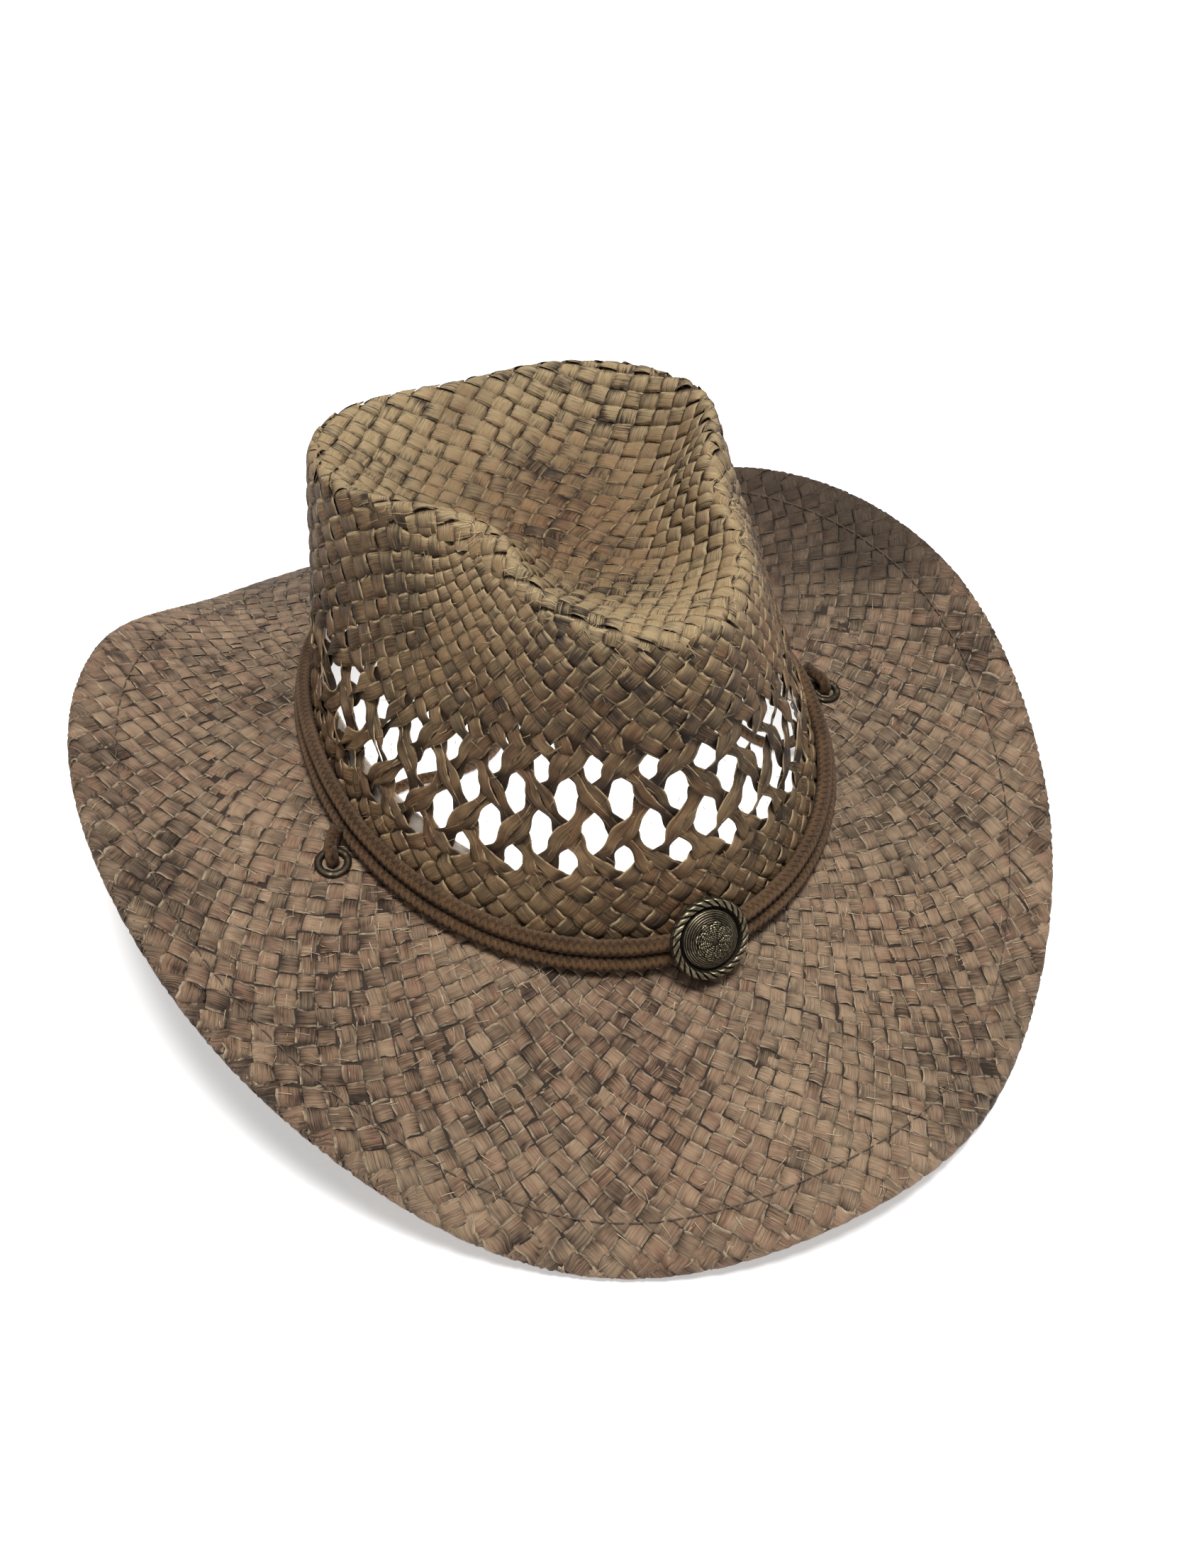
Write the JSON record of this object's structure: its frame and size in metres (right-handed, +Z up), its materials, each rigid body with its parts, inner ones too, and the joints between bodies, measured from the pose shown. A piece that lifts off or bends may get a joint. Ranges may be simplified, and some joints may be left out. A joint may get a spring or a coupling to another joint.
{
  "type": "cowboy hat",
  "caption": "Woven straw cowboy hat with a pinched crown, openwork vents, curled brim, corded band with a cast concho, and a chin cord.",
  "frame": {"origin": "on the resting surface, under the middle of the brim's outline", "axes": "+Z up through the crown, -Y the front of the hat, -X the wearer's right"},
  "size_m": [0.3352, 0.3843, 0.1504],
  "materials": {
    "straw": "matt woven straw, tan to brown",
    "straw_hem": "matt woven straw, folded under",
    "wire": "plain steel wire",
    "thread": "dark sewing thread",
    "cord": "braided brown cord, slightly fuzzy",
    "brass": "antique, worn highlights",
    "elastic": "ribbed elastic webbing",
    "leather": "dark brown, waxed"
  },
  "bodies": {
    "hat": {"crown": "straw", "brim": "straw", "brim_hem": "straw_hem", "brim_wire": "wire", "hem_stitching": "thread", "band_cord_lower": "cord", "band_cord_upper": "cord", "eyelet_right": "brass", "eyelet_washer_right": "brass", "eyelet_left": "brass", "eyelet_washer_left": "brass", "sweatband": "elastic", "sweatband_stitching": "thread", "chin_tie_right": "cord", "chin_tie_left": "cord", "chin_cord": "cord"},
    "concho": {"concho_face": "brass", "concho_loop": "brass"},
    "slide": {"chin_slider": "leather"}
  },
  "joints": [
    {"name": "concho_shift", "type": "slide", "parent": "hat", "child": "concho", "axis": [1, 0, 0], "range_m": [-0.004, 0.004]},
    {"name": "chin_slide", "type": "slide", "parent": "hat", "child": "slide", "axis": [0, 1, 0], "range_m": [0, 0.03]}
  ]
}
